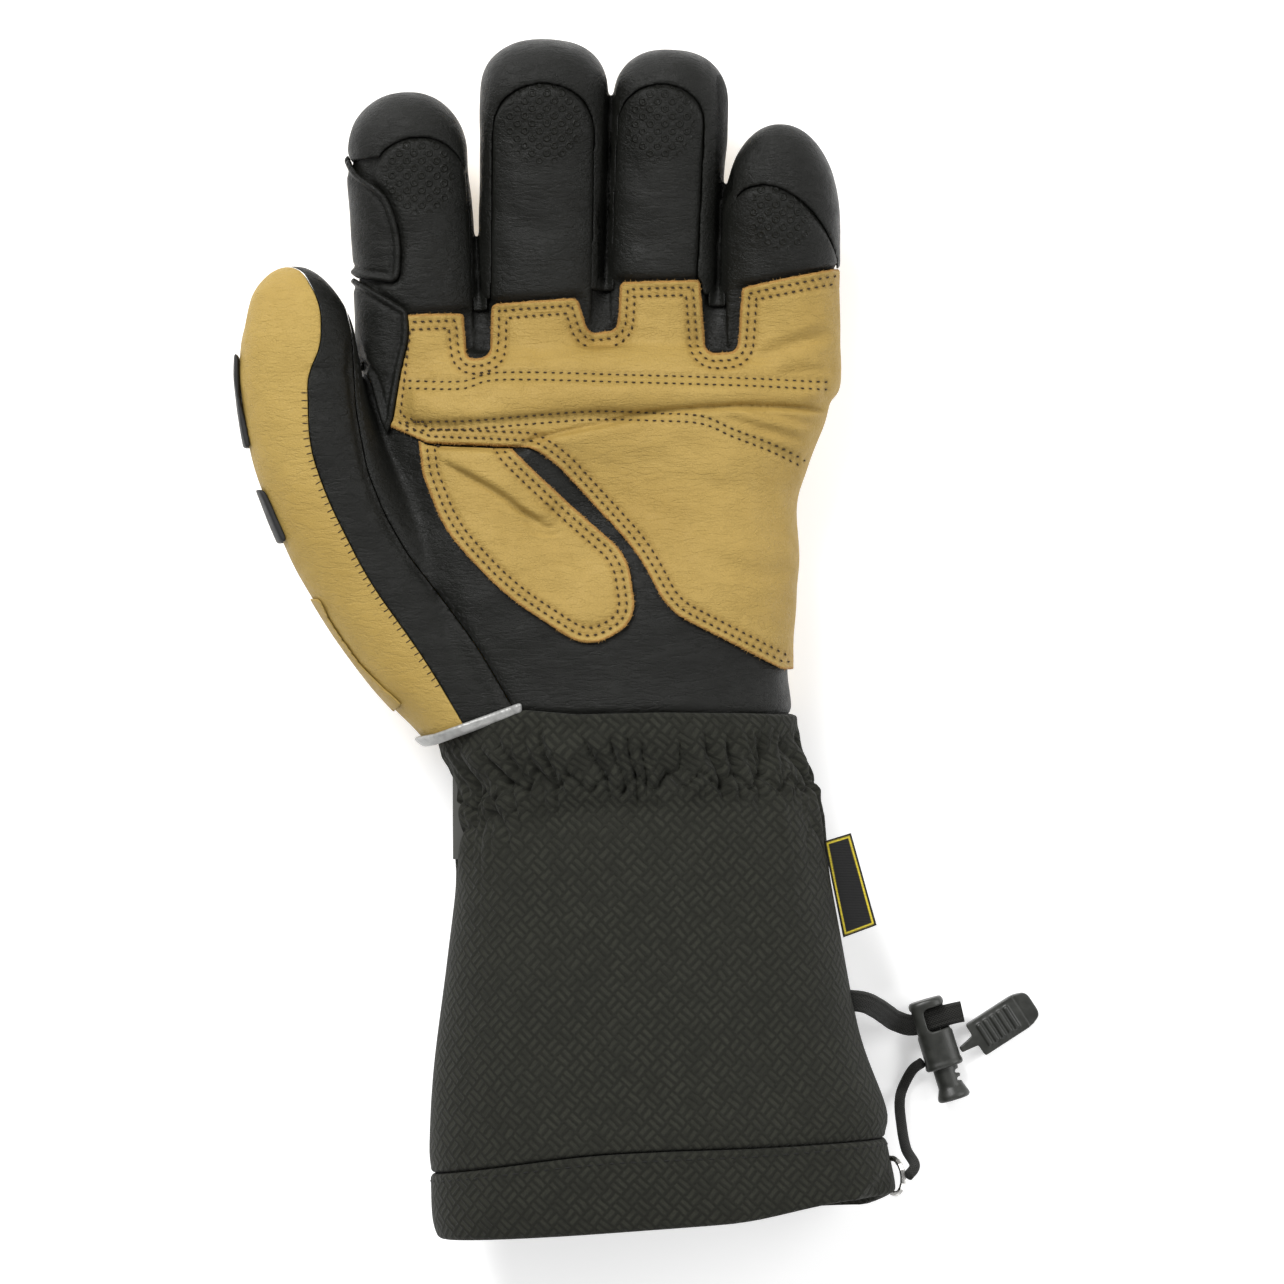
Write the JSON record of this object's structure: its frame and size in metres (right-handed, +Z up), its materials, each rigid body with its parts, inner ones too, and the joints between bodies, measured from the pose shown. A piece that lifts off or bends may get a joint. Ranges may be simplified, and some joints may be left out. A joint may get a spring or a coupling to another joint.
{
  "type": "insulated gauntlet work glove",
  "caption": "Left-hand insulated gauntlet work glove, palm up, with reinforced palm, gathered wrist, flared cuff, drawcord with cord lock and a hem ring.",
  "frame": {"origin": "centre of the underside of the glove's bounding box, measured without the cords and what hangs on them", "axes": "+X from the thumb's side to the little finger's, +Y from the cuff to the fingertips, +Z up out of the palm"},
  "size_m": [0.2265, 0.3362, 0.066],
  "materials": {
    "black_leather": "semi-matt grained synthetic leather",
    "tan_leather": "matt grained tan leather",
    "cuff_fabric": "matt charcoal shell fabric with a fine embossed weave",
    "black_rubber": "satin moulded rubber",
    "reflective_piping": "silver-grey reflective fabric",
    "elastic_braid": "matt woven elastic",
    "label_weave": "matt woven label, bare",
    "ring_steel": "bright steel wire",
    "lock_plastic": "moulded plastic"
  },
  "bodies": {
    "glove": {"hand_palm": "black_leather", "thumb_gusset": "black_leather", "hand_back": "tan_leather", "thumb_panel": "tan_leather", "palm_patch": "tan_leather", "thumb_web_patch": "tan_leather", "index_patch_upper": "black_leather", "index_patch_lower": "black_leather", "cap_index": "black_leather", "cap_middle": "black_leather", "cap_ring": "black_leather", "cap_little": "black_leather", "thumb_guard_upper": "black_rubber", "thumb_guard_lower": "black_rubber", "thumb_base_patch": "tan_leather", "wrist_piping": "reflective_piping", "cuff_shell": "cuff_fabric", "cuff_hem": "cuff_fabric", "side_label": "label_weave", "wrist_side_tab": "elastic_braid", "hem_ring": "ring_steel", "cord_lock_barrel": "lock_plastic", "pull_tab": "lock_plastic", "drawcord": "elastic_braid", "leash_cord": "elastic_braid"},
    "plunger": {"cord_lock_plunger": "lock_plastic"}
  },
  "joints": [
    {"name": "plunger_press", "type": "slide", "parent": "glove", "child": "plunger", "axis": [-0.2924, 0.9563, 0], "range_m": [0, 0.004], "stiffness_N_per_m": 800}
  ]
}
